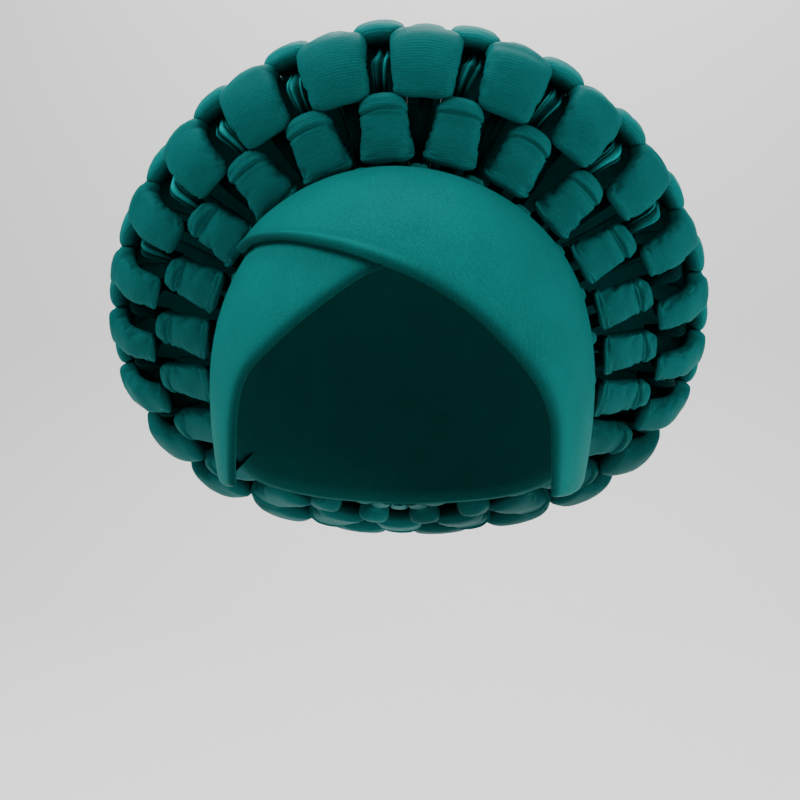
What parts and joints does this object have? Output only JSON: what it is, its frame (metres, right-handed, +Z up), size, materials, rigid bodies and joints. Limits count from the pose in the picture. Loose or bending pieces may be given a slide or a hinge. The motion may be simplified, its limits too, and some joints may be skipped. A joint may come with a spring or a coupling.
{
  "type": "tied gele head tie",
  "caption": "Pre-tied gele head tie in teal cloth: two padded bands crossed over the forehead, and a tilted halo of padded strips puffed in a brick pattern round a close cap.",
  "frame": {"origin": "the point of the head hollow that rests on the crown of the head, on the inside of the cap", "axes": "+Z up, -Y to the front where the bands cross over the forehead, +X towards the wearer's left"},
  "size_m": [0.2852, 0.2872, 0.2346],
  "materials": {
    "band_cloth": "satin",
    "puff_cloth": "satin",
    "cap_cloth": "matte"
  },
  "bodies": {
    "root": {"base_cap": "cap_cloth", "over_band": "band_cloth", "under_band": "band_cloth", "strip_00": "puff_cloth", "strip_01": "puff_cloth", "strip_02": "puff_cloth", "strip_03": "puff_cloth", "strip_04": "puff_cloth", "strip_05": "puff_cloth", "strip_06": "puff_cloth", "strip_07": "puff_cloth", "strip_08": "puff_cloth", "strip_09": "puff_cloth", "strip_10": "puff_cloth", "strip_11": "puff_cloth", "strip_12": "puff_cloth", "strip_13": "puff_cloth", "strip_14": "puff_cloth", "strip_15": "puff_cloth", "strip_16": "puff_cloth", "strip_17": "puff_cloth", "strip_18": "puff_cloth", "strip_19": "puff_cloth", "strip_20": "puff_cloth", "strip_21": "puff_cloth", "strip_22": "puff_cloth", "strip_23": "puff_cloth", "strip_24": "puff_cloth", "strip_25": "puff_cloth", "strip_26": "puff_cloth", "strip_27": "puff_cloth", "strip_28": "puff_cloth", "strip_29": "puff_cloth", "strip_30": "puff_cloth", "strip_31": "puff_cloth", "strip_32": "puff_cloth", "strip_33": "puff_cloth", "strip_34": "puff_cloth", "strip_35": "puff_cloth", "strip_36": "puff_cloth", "strip_37": "puff_cloth", "strip_38": "puff_cloth", "strip_39": "puff_cloth", "strip_40": "puff_cloth", "strip_41": "puff_cloth", "strip_42": "puff_cloth", "strip_43": "puff_cloth", "strip_44": "puff_cloth", "strip_45": "puff_cloth"}
  },
  "joints": []
}
